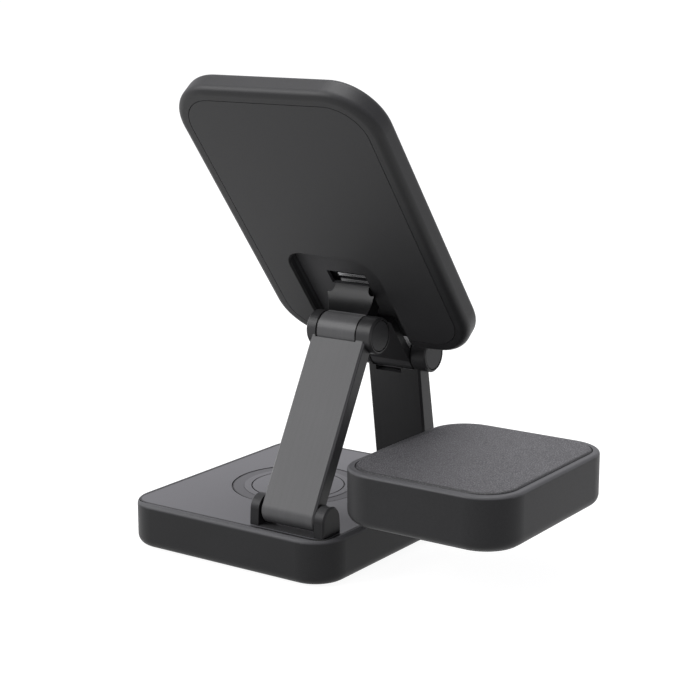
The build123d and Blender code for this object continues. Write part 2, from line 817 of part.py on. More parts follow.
# Charging pieces inside the phone plate
plate_coil_plane = plate_spot(plate_coil_rise, plate_face)
coil_piece(plate_coil_plane, plate_coil_radius, "plate_coil")
ferrite_piece(plate_coil_plane.offset(coil_thickness), plate_coil_radius, "plate_ferrite")

with BuildPart() as magnet_ring:
    with BuildSketch(plate_coil_plane):
        Circle(magnet_outer_radius)
        Circle(magnet_inner_radius, mode=Mode.SUBTRACT)
        with PolarLocations((magnet_inner_radius + magnet_outer_radius) / 2, magnet_count):
            Rectangle(2 * (magnet_outer_radius - magnet_inner_radius), magnet_gap, mode=Mode.SUBTRACT)
    extrude(amount=magnet_thickness)
finish(magnet_ring, "magnet_ring")

plate_board_rise = plate_height / 2 - inner_inset - plate_board_height / 2 - swing_gap
board_piece(plate_spot(plate_board_rise, plate_face), plate_board_width, plate_board_height, "plate_board")

# Front arm: hangs from the plate's foot, with a cable slot under its fork and a round lower end
with BuildPart() as front_arm:
    with BuildSketch(front_arm_plane):
        with Locations((front_arm_length, 0)):
            Circle(pad_tube_radius)
        with BuildLine():
            upper_back = front_arm_thickness / 2 - front_arm_rearward
            Polyline(
                (0, upper_back),
                (front_arm_length, front_arm_thickness / 2),
                (front_arm_length, 0),
                (front_arm_length + pad_tube_radius, 0),
                (front_arm_length + pad_tube_radius, -pad_tube_radius),
                (0, upper_back - front_arm_thickness),
                close=True,
            )
        make_face()
    extrude(amount=arm_half, both=True)
    chamfer(front_arm.faces().filter_by(Axis.X).edges(), arm_chamfer)
    fork(lower_barrel)
    with BuildSketch(pad_hinge_plane):
        Circle(lower_sleeve_radius + fit_gap)
    extrude(amount=arm_half - sleeve_end, both=True, mode=Mode.SUBTRACT)
    with BuildSketch(pad_hinge_plane):
        Circle(lower_pin_radius + 2 * fit_gap)
    extrude(amount=arm_half, mode=Mode.SUBTRACT)
    with BuildSketch(across(front_arm_plane, cable_slot_shift)):
        with Locations((cable_slot_drop, -front_arm_thickness / 2 - front_arm_rearward)):
            Rectangle(cable_slot_height, 2 * cable_slot_depth)
    extrude(amount=cable_slot_width / 2, both=True, mode=Mode.SUBTRACT)
finish(front_arm, "front_arm")

barrel_pin(lower_barrel, "lower_hinge_pin")
barrel_sleeve(lower_barrel, "lower_hinge_sleeve")
cap_pair(lower_barrel, "lower_hinge_caps")

# Pad hinge: a pin in the front arm's foot, carried by a tube on the pad's front wall
round_piece(
    pad_hinge_plane,
    lower_sleeve_radius,
    -arm_half + sleeve_end + fit_gap,
    arm_half - sleeve_end - fit_gap,
    "pad_hinge_sleeve",
    lower_pin_radius + fit_gap,
)
pad_pin_start = -arm_half + sleeve_end + 2 * fit_gap
round_piece(pad_hinge_plane, lower_pin_radius, pad_pin_start, pad_pin_end, "pad_hinge_pin")

tube_start = arm_half + side_gap
leaf_screw_z = pad_axis.Z + pad_leaf_height - leaf_screw_inset
tube_end = pad_x + pad_leaf_width / 2 + pad_tube_overhang - hinge_x
leaf_screw_places = [
    Plane(
        origin=(pad_x + shift, pad_front_y + pad_leaf_thickness, leaf_screw_z),
        x_dir=(1, 0, 0),
        z_dir=(0, 1, 0),
    )
    for shift in (-leaf_screw_spacing, 0, leaf_screw_spacing)
]
with BuildPart() as pad_hinge_tube:
    with BuildSketch(across(pad_hinge_plane, tube_start)):
        Circle(pad_tube_radius)
    extrude(amount=tube_end - tube_start)
    with BuildSketch(Plane(origin=(pad_x, pad_front_y, pad_axis.Z), x_dir=(1, 0, 0), z_dir=(0, 1, 0))):
        with Locations((0, -pad_leaf_height / 2)):
            Rectangle(pad_leaf_width, pad_leaf_height)
    extrude(amount=pad_leaf_thickness)
    with BuildSketch(across(pad_hinge_plane, tube_start)):
        Circle(lower_pin_radius + fit_gap)
    extrude(amount=pad_pin_end - tube_start + seam, mode=Mode.SUBTRACT)
    for place in leaf_screw_places:
        with BuildSketch(place):
            Circle(small_screw_radius + fit_gap)
        extrude(amount=-pad_leaf_thickness, mode=Mode.SUBTRACT)
finish(pad_hinge_tube, "pad_hinge_tube")

screw_group(
    leaf_screw_places,
    small_screw_radius,
    small_screw_head_radius,
    small_screw_head_height,
    pad_leaf_thickness + pad_wall,
    "pad_leaf_screws",
)

# Side pad shell: a tub turned over, with a sunk deck for the soft insert
with BuildPart() as pad_shell:
    with BuildSketch(Plane.XY.offset(pad_bottom_z)):
        with Locations((pad_x, pad_y)):
            RectangleRounded(pad_width, pad_depth, pad_corner)
    extrude(amount=pad_height - pad_insert_proud)
    fillet(pad_shell.faces().sort_by(Axis.Z)[-1].edges(), pad_top_round)
    fillet(pad_shell.faces().sort_by(Axis.Z)[0].edges(), pad_low_round)
    with BuildSketch(Plane.XY.offset(pad_deck_z)):
        with Locations((pad_x, pad_y)):
            inset_rectangle(pad_width, pad_depth, pad_corner, pad_insert_inset)
    extrude(amount=pad_height, mode=Mode.SUBTRACT)
    with BuildSketch(Plane.XY.offset(pad_bottom_z)):
        with Locations((pad_x, pad_y)):
            inset_rectangle(pad_width, pad_depth, pad_corner, pad_wall)
    extrude(amount=pad_inside_top - pad_bottom_z, mode=Mode.SUBTRACT)
    pad_boss_x = pad_width / 2 - pad_wall - boss_radius - pad_boss_inset
    pad_boss_y = pad_depth / 2 - pad_wall - boss_radius - pad_boss_inset
    with BuildSketch(Plane.XY.offset(pad_inside_low)):
        with Locations((pad_x, pad_y)):
            with GridLocations(2 * pad_boss_x, 2 * pad_boss_y, 2, 2):
                Circle(boss_radius)
    extrude(amount=pad_inside_top - pad_inside_low)
    with BuildSketch(Plane.XY.offset(pad_inside_low)):
        with Locations((pad_x, pad_y)):
            with GridLocations(2 * pad_boss_x, 2 * pad_boss_y, 2, 2):
                Circle(screw_radius + fit_gap)
    extrude(amount=screw_bite + seam, mode=Mode.SUBTRACT)
    for place in leaf_screw_places:
        with BuildSketch(place.offset(-pad_leaf_thickness)):
            Circle(small_screw_radius + fit_gap)
        extrude(amount=-pad_wall, mode=Mode.SUBTRACT)
finish(pad_shell, "pad_shell")

with BuildPart() as pad_insert:
    with BuildSketch(Plane.XY.offset(pad_deck_z)):
        with Locations((pad_x, pad_y)):
            inset_rectangle(pad_width, pad_depth, pad_corner, pad_insert_inset + seam)
    extrude(amount=pad_insert_thickness)
    fillet(pad_insert.faces().sort_by(Axis.Z)[-1].edges(), pad_insert_round)
finish(pad_insert, "pad_insert")

with BuildPart() as pad_bottom_cover:
    with BuildSketch(Plane.XY.offset(pad_bottom_z)):
        with Locations((pad_x, pad_y)):
            inset_rectangle(pad_width, pad_depth, pad_corner, pad_wall + seam)
            with GridLocations(2 * pad_boss_x, 2 * pad_boss_y, 2, 2):
                Circle(screw_radius + fit_gap, mode=Mode.SUBTRACT)
    extrude(amount=pad_cover_thickness)
    with BuildSketch(Plane.XY.offset(pad_bottom_z)):
        with Locations((pad_x, pad_y)):
            with GridLocations(2 * pad_boss_x, 2 * pad_boss_y, 2, 2):
                Circle(screw_head_radius + seam)
    extrude(amount=screw_head_height, mode=Mode.SUBTRACT)
finish(pad_bottom_cover, "pad_bottom_cover")

screw_group(
    [
        Plane(
            origin=(pad_x + i * pad_boss_x, pad_y + j * pad_boss_y, pad_bottom_z + screw_head_height),
            x_dir=(1, 0, 0),
            z_dir=(0, 0, -1),
        )
        for i in (-1, 1)
        for j in (-1, 1)
    ],
    screw_radius,
    screw_head_radius,
    screw_head_height,
    pad_cover_thickness - screw_head_height + screw_bite,
    "pad_screws",
)

pad_coil_plane = Plane(origin=(pad_x, pad_y, pad_inside_top), x_dir=(1, 0, 0), z_dir=(0, 0, -1))
coil_piece(pad_coil_plane, pad_coil_radius, "pad_coil")
ferrite_piece(pad_coil_plane.offset(coil_thickness), pad_coil_radius, "pad_ferrite")
board_piece(Plane(origin=(pad_x, pad_y, pad_inside_low)), pad_board_width, pad_board_depth, "pad_board")

os.makedirs("parts", exist_ok=True)
for piece in pieces:
    export_step(piece, f"parts/{piece.label}.step")
for name, axis in (
    ("rear hinge", rear_axis),
    ("plate hinge", plate_axis),
    ("lower hinge", lower_axis),
    ("pad hinge", pad_axis),
):
    print(name, [round(v, 4) for v in axis])
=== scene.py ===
import math

import bpy
import numpy as np
from mathutils import Matrix, Vector


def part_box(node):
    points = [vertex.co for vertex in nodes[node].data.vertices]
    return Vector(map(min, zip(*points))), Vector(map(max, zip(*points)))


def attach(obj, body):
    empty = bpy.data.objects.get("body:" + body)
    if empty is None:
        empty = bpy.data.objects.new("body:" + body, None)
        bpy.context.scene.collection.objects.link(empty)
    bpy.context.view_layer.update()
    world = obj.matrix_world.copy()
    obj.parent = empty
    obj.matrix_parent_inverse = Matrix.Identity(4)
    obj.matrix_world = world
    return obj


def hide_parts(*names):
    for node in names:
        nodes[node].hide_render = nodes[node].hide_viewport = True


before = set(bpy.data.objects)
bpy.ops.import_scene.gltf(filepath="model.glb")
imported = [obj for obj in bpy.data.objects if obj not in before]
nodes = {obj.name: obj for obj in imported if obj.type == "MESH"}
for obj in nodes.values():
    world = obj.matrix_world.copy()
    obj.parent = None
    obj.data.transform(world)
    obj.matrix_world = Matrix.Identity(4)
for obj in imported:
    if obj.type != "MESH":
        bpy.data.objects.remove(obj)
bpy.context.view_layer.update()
mm = 0.001
print("frame loaded:", len(nodes), "nodes")


class Socket:
    # one output of a node tree: sums, products and the like on it add Math nodes

    def __init__(self, tree, plug):
        self.tree = tree
        self.plug = plug

    def make(self, kind, settings, feeds, output=0):
        node = self.tree.nodes.new(kind)
        for name, value in settings.items():
            if name == "stops":
                setStops(node.color_ramp, value)
            else:
                setattr(node, name, value)
        for key, value in feeds.items():
            if isinstance(value, Socket):
                self.tree.links.new(value.plug, node.inputs[key])
            else:
                node.inputs[key].default_value = value
        return Socket(self.tree, node.outputs[output])

    def math(self, operation, *values):
        return self.make("ShaderNodeMath", {"operation": operation}, dict(enumerate(values)))

    def __add__(self, other):
        return self.math("ADD", self, other)

    def __radd__(self, other):
        return self.math("ADD", other, self)

    def __sub__(self, other):
        return self.math("SUBTRACT", self, other)

    def __rsub__(self, other):
        return self.math("SUBTRACT", other, self)

    def __mul__(self, other):
        return self.math("MULTIPLY", self, other)

    def __rmul__(self, other):
        return self.math("MULTIPLY", other, self)

    def __truediv__(self, other):
        return self.math("DIVIDE", self, other)

    def __pow__(self, other):
        return self.math("POWER", self, other)


def setStops(slope, stops):
    for place, shade in stops[2:]:
        slope.elements.new(place)
    for element, (place, shade) in zip(slope.elements, stops):
        element.position = place
        element.color = (shade, shade, shade, 1)


def startFinish(name, constants):
    # an empty material, its shader with the constants set, and Object coordinates
    material = bpy.data.materials.new(name)
    material.use_nodes = True
    tree = material.node_tree
    tree.nodes.clear()
    output = tree.nodes.new("ShaderNodeOutputMaterial")
    shader = tree.nodes.new("ShaderNodeBsdfPrincipled")
    tree.links.new(shader.outputs[0], output.inputs[0])
    for key, value in constants.items():
        shader.inputs[key].default_value = value
    place = Socket(tree, None).make("ShaderNodeTexCoord", {}, {}, "Object")
    return material, shader, place


def feed(shader, **links):
    inputs = {"colour": "Base Color", "rough": "Roughness", "normal": "Normal"}
    for key, value in links.items():
        value.tree.links.new(value.plug, shader.inputs[inputs[key]])


def noise(place, scale, detail=2.0, rough=0.5):
    return place.make(
        "ShaderNodeTexNoise", {}, {"Vector": place, "Scale": scale, "Detail": detail, "Roughness": rough}
    )


def tint(amount, low, high):
    # a colour between low and high, by amount
    return amount.make(
        "ShaderNodeMix", {"data_type": "RGBA"}, {0: amount, 6: (*low, 1), 7: (*high, 1)}, 2
    )


def blend(mask, one, two):
    return mask.make("ShaderNodeMix", {"data_type": "RGBA"}, {0: mask, 6: one, 7: two}, 2)


def relief(height, depth):
    return height.make("ShaderNodeBump", {}, {"Height": height, "Distance": depth, "Strength": 1.0})


def moved(place, centre, turn=(0, 0, 0), scale=(1, 1, 1)):
    # coordinates counted from a centre, turned back and then multiplied by the scale
    inverse = [1 / s for s in scale]
    return place.make(
        "ShaderNodeMapping",
        {"vector_type": "TEXTURE"},
        {"Vector": place, "Location": centre, "Rotation": turn, "Scale": inverse},
    )


def insideDepth(place, outline):
    # how far inside a rounded rectangle a point lies: r - |max(p,q,0)| - min(max(p,q),0),
    # with p and q counted from its straight core
    local = moved(place, outline["centre"], outline["turn"])
    x = local.make("ShaderNodeSeparateXYZ", {}, {"Vector": local}, "X")
    y = local.make("ShaderNodeSeparateXYZ", {}, {"Vector": local}, "Y")
    r = outline["corner"] + x.math("GREATER_THAN", x, 0.0) * outline["widen"]
    p = x.math("ABSOLUTE", x) - (outline["width"] / 2 - r)
    q = y.math("ABSOLUTE", y) - (outline["length"] / 2 - r)
    px = p.math("MAXIMUM", p, 0.0)
    qy = q.math("MAXIMUM", q, 0.0)
    outside = (px * px + qy * qy) ** 0.5
    core = p.math("MAXIMUM", p, q)
    return r - outside - core.math("MINIMUM", core, 0.0)


def ramp(value, *stops):
    return value.make("ShaderNodeValToRGB", {"stops": stops}, {0: value})


def dress(material, *names):
    for name in names:
        mesh = nodes[name].data
        mesh.materials.clear()
        mesh.materials.append(material)


# colours of painted shade in joint lines and in the gaps between knuckles
jointShade = ((0.004, 0.004, 0.004), (0.009, 0.009, 0.009))


# moulded plastic: spark-eroded grain from two noises, faint clouds in the colour, a satin surface
def mouldedPlastic(name, look):
    material, shader, place = startFinish(name, {"Specular IOR Level": look["gloss"]})
    fine = noise(place, look["grain"], 2.0, 0.6)
    coarse = noise(place, look["grain"] * 0.37, 1.0)
    clouds = noise(place, 38, 3.0)
    amount = fine * 0.45 + coarse * 0.2 + clouds * 0.35
    shade = ramp(amount, (0.32, 0.0), (0.68, 1.0))
    colour = tint(shade, look["low"], look["high"])
    if "crown" in look:  # a paler tone where the rounded rims face up: painted highlight
        facing = place.make("ShaderNodeTexCoord", {}, {}, "Normal")
        rise = facing.make("ShaderNodeSeparateXYZ", {}, {"Vector": facing}, "Z")
        colour = blend(ramp(rise, (0.05, 0.0), (0.42, 1.0)), colour, tint(shade, *look["crown"]))
    if "wellReflection" in look:  # a paler floor in a sunk pocket, fading across it: painted reflection
        depth = place.make(
            "ShaderNodeVectorMath", {"operation": "DOT_PRODUCT"}, {0: place, 1: look["wellAxis"]}, "Value"
        )
        across = place.make("ShaderNodeSeparateXYZ", {}, {"Vector": place}, "X")
        fade = ramp((across - look["wellStart"]) / look["wellWidth"], (0.0, 1.0), (1.0, 0.0))
        mask = depth.math("GREATER_THAN", depth, look["wellLevel"]) * fade
        colour = blend(mask, colour, tint(shade, *look["wellReflection"]))
    if "outline" in look:  # painted shade in the joint line along an outline
        offset = insideDepth(place, look["outline"]) - look["outline"]["inset"]
        mask = offset.math("LESS_THAN", offset.math("ABSOLUTE", offset), look["outline"]["line"])
        colour = blend(mask, colour, tint(shade, *jointShade))
    rough = look["rough"] + (coarse - 0.5) * look["spread"] + (clouds - 0.5) * 0.05
    feed(shader, colour=colour, rough=rough, normal=relief(fine * 0.7 + coarse * 0.5, look["depth"]))
    return material


shellLook = {
    "low": (0.0145, 0.0145, 0.0151),
    "high": (0.0220, 0.0220, 0.0228),
    "rough": 0.46,
    "spread": 0.10,
    "grain": 3600,
    "depth": 0.012 * mm,
    "gloss": 0.17,
    # crown: painted highlight colours where the rounded rims face up
    "crown": ((0.074, 0.074, 0.077), (0.094, 0.094, 0.098)),
}
shellPlastic = mouldedPlastic("shellPlastic", shellLook)
padLook = dict(shellLook, low=(0.019, 0.019, 0.0197), high=(0.028, 0.028, 0.029))
padPlastic = mouldedPlastic("padPlastic", padLook)
# the frame's crown colours are a weaker painted highlight on its upward-facing rims
frameLook = dict(shellLook, gloss=0.26, crown=((0.030, 0.030, 0.031), (0.040, 0.040, 0.041)))
framePlastic = mouldedPlastic("framePlastic", frameLook)

coverLook = {
    "low": (0.072, 0.071, 0.076),
    "high": (0.091, 0.090, 0.096),
    "rough": 0.37,
    "spread": 0.08,
    "grain": 4600,
    "depth": 0.006 * mm,
    "gloss": 0.48,
    # outline: the cover's edge, where a line of painted shade runs along the joint
    "outline": {
        "width": 77.0 * mm,
        "length": 88.8 * mm,
        "corner": 6.3 * mm,
        "widen": 0.0,
        "centre": (0, 0, 0),
        "turn": (0, 0, 0),
        "inset": 0.0,
        "line": 0.6 * mm,
    },
}
coverPlastic = mouldedPlastic("coverPlastic", coverLook)
discCentre = (-3.4 * mm, 0, 0)


# outlines for the painted shade lines round the disc and the ring
def roundLine(radius, line):
    # a circle is a rounded square whose corners are as large as it can take
    return dict(
        coverLook["outline"],
        width=2 * radius,
        length=2 * radius,
        corner=radius,
        centre=discCentre,
        line=line,
    )


discLook = dict(
    coverLook,
    low=(0.081, 0.080, 0.086),
    high=(0.101, 0.100, 0.107),
    outline=roundLine(15.45 * mm, 0.16 * mm),
)
discPlastic = mouldedPlastic("discPlastic", discLook)

ringLook = {
    "low": (0.056, 0.055, 0.059),
    "high": (0.072, 0.071, 0.076),
    "rough": 0.42,
    "spread": 0.10,
    "grain": 3900,
    "depth": 0.008 * mm,
    "gloss": 0.42,
    "outline": roundLine(22.05 * mm, 0.4 * mm),
}
ringPlastic = mouldedPlastic("ringPlastic", ringLook)

plateLean = math.radians(37.5)
plateTurn = (plateLean - math.pi / 2, 0, 0)
frontMiddle = Vector((24.25, -16.540, 112.947)) * mm
frontOut = Vector((0, math.cos(plateLean), math.sin(plateLean)))
frontUp = Vector((0, -math.sin(plateLean), math.cos(plateLean)))
wellBehind = 5.6 * mm
wellShift = -5.35 * mm
wellDrop = 60.0 * mm
wellMiddle = frontMiddle + Vector((wellShift, 0, 0)) - frontUp * wellDrop
backLook = {
    "low": (0.018, 0.018, 0.0187),
    "high": (0.026, 0.026, 0.027),
    "rough": 0.52,
    "spread": 0.10,
    "grain": 4200,
    "depth": 0.012 * mm,
    "gloss": 0.30,
    # the pocket floor's colours: painted reflection, strongest at its left side
    "wellReflection": ((0.050, 0.050, 0.052), (0.064, 0.064, 0.066)),
    "wellAxis": frontOut,
    "wellLevel": frontMiddle.dot(frontOut) - wellBehind,
    "wellStart": 3.5 * mm,
    "wellWidth": 26 * mm,
    # outline: the pocket's edge, where a line of painted shade runs
    "outline": {
        "width": 32.8 * mm,
        "length": 92.0 * mm,
        "corner": 6.0 * mm,
        "widen": 4.0 * mm,
        "centre": wellMiddle,
        "turn": plateTurn,
        "inset": -0.3 * mm,
        "line": 0.2 * mm,
    },
}
backPlastic = mouldedPlastic("backPlastic", backLook)

hingeLook = {
    "low": (0.010, 0.010, 0.0105),
    "high": (0.016, 0.016, 0.0167),
    "rough": 0.38,
    "spread": 0.08,
    "grain": 4800,
    "depth": 0.008 * mm,
    "gloss": 0.14,
    # crown: painted highlight colours where the rounded tops face up
    "crown": ((0.034, 0.034, 0.035), (0.046, 0.046, 0.047)),
}
hingePlastic = mouldedPlastic("hingePlastic", hingeLook)

rubberLook = {
    "low": (0.014, 0.014, 0.0145),
    "high": (0.024, 0.024, 0.0245),
    "rough": 0.72,
    "spread": 0.12,
    "grain": 2600,
    "depth": 0.02 * mm,
    "gloss": 0.3,
}
softRubber = mouldedPlastic("softRubber", rubberLook)

capLook = dict(hingeLook, low=(0.034, 0.034, 0.035), high=(0.046, 0.046, 0.047), rough=0.42)
capPlastic = mouldedPlastic("capPlastic", capLook)

dress(shellPlastic, "base_shell")
dress(padPlastic, "pad_shell", "pad_bottom_cover")
dress(framePlastic, "plate_frame")
dress(coverPlastic, "base_cover")
dress(discPlastic, "charging_disc")
dress(ringPlastic, "charging_ring")
dress(backPlastic, "back_panel")
dress(hingePlastic, "rear_hinge_bracket", "pad_hinge_tube")
dress(capPlastic, "plate_hinge_caps", "lower_hinge_caps")
dress(softRubber, "base_foot", "front_pad")
print("plastics done")


# blasted and anodised metal: very fine grain, long faint streaks along the arm, and a second tone
# on the hinge knuckles and the edge walls, by distance from the hinge axis and the arm's middle;
# on the edge walls that darker tone is painted shade
def anodised(name, look):
    material, shader, place = startFinish(name, {"Specular IOR Level": look["gloss"]})
    blasted = noise(place, look["grain"], 3.0, 0.65)
    streaks = noise(moved(place, look["axis"], (0, 0, 0), (900, 40, 40)), 1.0, 2.0)
    clouds = noise(place, 45, 2.0)
    amount = blasted * 0.5 + streaks * 0.25 + clouds * 0.25
    shade = ramp(amount, (0.34, 0.0), (0.66, 1.0))
    face = tint(shade, *look["face"])
    knuckle = tint(shade, *look["knuckle"])
    across = place.make("ShaderNodeSeparateXYZ", {}, {"Vector": place}, "X")
    if "knuckleHalf" in look:  # dark ends where a knuckle meets its neighbours: painted shade in the gaps
        along = across - look["knuckleMiddle"]
        ends = along.math("GREATER_THAN", along.math("ABSOLUTE", along), look["knuckleHalf"])
        knuckle = blend(ends, knuckle, tint(shade, *jointShade))
    fromAxis = moved(place, look["axis"], (0, 0, 0), (1e-6, 1, 1))
    reach = fromAxis.make("ShaderNodeVectorMath", {"operation": "LENGTH"}, {0: fromAxis}, "Value")
    # beyond the arm's middle the edge walls take the knuckle tone as painted shade
    away = reach.math("GREATER_THAN", reach, look["knuckleRadius"])
    across = across - look["axis"][0]
    inner = across.math("LESS_THAN", across.math("ABSOLUTE", across), look["halfWidth"])
    mask = away * inner
    colour = blend(mask, knuckle, face)
    rough = look["rough"] + (blasted - 0.5) * look["spread"] + (streaks - 0.5) * 0.04
    feed(shader, colour=colour, rough=rough, normal=relief(blasted, look["depth"]))
    return material


hingeMiddle = 23 * mm
paleMetal = ((0.064, 0.064, 0.065), (0.084, 0.084, 0.085))
# the knuckles' own darker tone, also laid on the arms' edge walls as painted shade
darkMetal = ((0.019, 0.019, 0.0195), (0.029, 0.029, 0.030))
rearArmLook = {
    "face": paleMetal,
    "knuckle": darkMetal,
    "knuckleRadius": 6.05 * mm,
    "halfWidth": 10.1 * mm,
    "rough": 0.42,
    "spread": 0.10,
    "grain": 5200,
    "depth": 0.010 * mm,
    "gloss": 0.30,
    "axis": (hingeMiddle, -8.443 * mm, 72.711 * mm),
}
rearArmMetal = anodised("rearArmMetal", rearArmLook)

# upper leaf: a near-black face as painted shade and a pale knuckle as painted highlight
shadedLeafMetal = ((0.005, 0.005, 0.0052), (0.009, 0.009, 0.0094))
highlightKnuckleMetal = ((0.084, 0.084, 0.085), (0.108, 0.108, 0.109))
upperLeafLook = dict(
    rearArmLook,
    face=shadedLeafMetal,
    knuckle=highlightKnuckleMetal,
    halfWidth=40 * mm,
    rough=0.34,
    gloss=0.24,
    knuckleMiddle=22.15 * mm,
    knuckleHalf=7.15 * mm,
)
upperLeafMetal = anodised("upperLeafMetal", upperLeafLook)

# a darker copy of the arm metal for the front arm's face: painted shade
shadedArmMetal = ((0.013, 0.013, 0.0134), (0.020, 0.020, 0.0206))
frontArmLook = dict(rearArmLook, face=shadedArmMetal, gloss=0.26, axis=(hingeMiddle, 21.41 * mm, 61.271 * mm))
frontArmMetal = anodised("frontArmMetal", frontArmLook)

# a paler knuckle tone on the lower leaf: painted light where it lies in shade
litKnuckleMetal = ((0.066, 0.066, 0.067), (0.086, 0.086, 0.087))
lowerLeafLook = dict(frontArmLook, knuckle=litKnuckleMetal, knuckleMiddle=hingeMiddle, knuckleHalf=7.65 * mm)
lowerLeafMetal = anodised("lowerLeafMetal", lowerLeafLook)

dress(rearArmMetal, "rear_arm")
dress(upperLeafMetal, "upper_leaf")
dress(frontArmMetal, "front_arm", "pad_leaf_screws")
dress(lowerLeafMetal, "lower_leaf")


# bright metal: drawn or turned, with streaks across the long way
def brightMetal(name, look):
    material, shader, place = startFinish(name, {"Metallic": 1.0})
    streaks = noise(moved(place, (0, 0, 0), look["turn"], look["stretch"]), 1.0, 3.0, 0.6)
    fine = noise(place, 5000, 2.0)
    stain = noise(place, 160, 2.0)
    amount = streaks * 0.6 + stain * 0.4
    colour = tint(ramp(amount, (0.35, 0.0), (0.65, 1.0)), look["low"], look["high"])
    rough = look["rough"] + (streaks - 0.5) * look["spread"] + (fine - 0.5) * 0.05
    feed(shader, colour=colour, rough=rough, normal=relief(streaks, look["depth"]))
    return material


barLook = {
    "low": (0.52, 0.52, 0.53),
    "high": (0.70, 0.70, 0.71),
    "rough": 0.28,
    "spread": 0.14,
    "depth": 0.006 * mm,
    "turn": (0, 0, 0),
    "stretch": (120, 6000, 6000),
}
barSteel = brightMetal("barSteel", barLook)

bronzeLook = {
    "low": (0.40, 0.26, 0.11),
    "high": (0.55, 0.38, 0.18),
    "rough": 0.36,
    "spread": 0.16,
    "depth": 0.006 * mm,
    "turn": (0, 0, 0),
    "stretch": (3000, 160, 160),
}
sleeveBronze = brightMetal("sleeveBronze", bronzeLook)

dress(
    barSteel, "contact_bars", "base_screws", "rear_hinge_pin", "plate_hinge_pin", "lower_hinge_pin",
    "pad_hinge_pin", "pad_screws", "usb_socket", "ballast_plate", "magnet_ring"
)
dress(sleeveBronze, "rear_hinge_sleeve", "plate_hinge_sleeve", "lower_hinge_sleeve", "pad_hinge_sleeve")


# wound copper: rounded ridges one wire apart, counted outward from the coil's axis
def woundCopper(name, look):
    material, shader, place = startFinish(name, {"Metallic": 1.0})
    local = moved(place, look["centre"], look["turn"])
    reach = local.make("ShaderNodeVectorMath", {"operation": "LENGTH"}, {0: local}, "Value")
    phase = reach * (2 * math.pi / look["wire"])
    ridge = phase.math("SINE", phase) * 0.5 + 0.5
    lacquer = noise(place, 900, 2.0)
    colour = tint(ramp(ridge * 0.7 + lacquer * 0.3, (0.2, 0.0), (0.8, 1.0)), look["low"], look["high"])
    rough = look["rough"] + (lacquer - 0.5) * 0.12
    feed(shader, colour=colour, rough=rough, normal=relief(ridge, look["wire"] * 0.35))
    return material


coilLook = {
    "low": (0.30, 0.11, 0.045),
    "high": (0.66, 0.31, 0.15),
    "rough": 0.30,
    "wire": 0.6 * mm,
}
coilPlaces = {
    "base_coil": ((-3.4 * mm, 0, 12.7 * mm), (0, 0, 0)),
    "plate_coil": ((24.25 * mm, -25.6 * mm, 121.1 * mm), plateTurn),
    "pad_coil": ((73.35 * mm, -13.17 * mm, 36.6 * mm), (0, 0, 0)),
}
for coilName, (coilCentre, coilTurn) in coilPlaces.items():
    coil = dict(coilLook, centre=coilCentre, turn=coilTurn)
    dress(woundCopper(coilName + "Copper", coil), coilName)


# pressed ferrite: dull grey, dark pores and a few bright grains
def pressedFerrite(name, look):
    material, shader, place = startFinish(name, {"Specular IOR Level": 0.5})
    grains = place.make("ShaderNodeTexVoronoi", {}, {"Vector": place, "Scale": look["grain"]}, "Distance")
    pores = noise(place, 700, 3.0)
    amount = grains * 0.6 + pores * 0.4
    colour = tint(ramp(amount, (0.25, 0.0), (0.75, 1.0)), look["low"], look["high"])
    feed(shader, colour=colour, rough=look["rough"] + (pores - 0.5) * 0.2, normal=relief(amount, 0.02 * mm))
    return material


ferriteLook = {"low": (0.020, 0.020, 0.022), "high": (0.070, 0.070, 0.074), "rough": 0.62, "grain": 1600}
dress(pressedFerrite("pressedFerrite", ferriteLook), "base_ferrite", "plate_ferrite", "pad_ferrite")


# lacquered board: green lacquer over faint copper tracks on a grid
def lacqueredBoard(name, look):
    material, shader, place = startFinish(name, {"Coat Weight": 0.4, "Coat Roughness": 0.15})
    bricks = place.make(
        "ShaderNodeTexBrick",
        {"offset": 0.5},
        {"Vector": place, "Scale": look["pitch"], "Color1": (1, 1, 1, 1), "Color2": (0.7, 0.7, 0.7, 1),
         "Mortar": (0, 0, 0, 1), "Mortar Size": 0.05},
    )
    weave = noise(place, 1500, 2.0)
    amount = bricks * 0.65 + weave * 0.35
    colour = tint(ramp(amount, (0.15, 0.0), (0.85, 1.0)), look["low"], look["high"])
    feed(shader, colour=colour, rough=look["rough"] + (weave - 0.5) * 0.1, normal=relief(bricks, 0.02 * mm))
    return material


boardLook = {"low": (0.006, 0.045, 0.020), "high": (0.016, 0.095, 0.045), "rough": 0.38, "pitch": 260}
dress(lacqueredBoard("lacqueredBoard", boardLook), "base_board", "plate_board", "pad_board")
print("metals, coils and boards done")


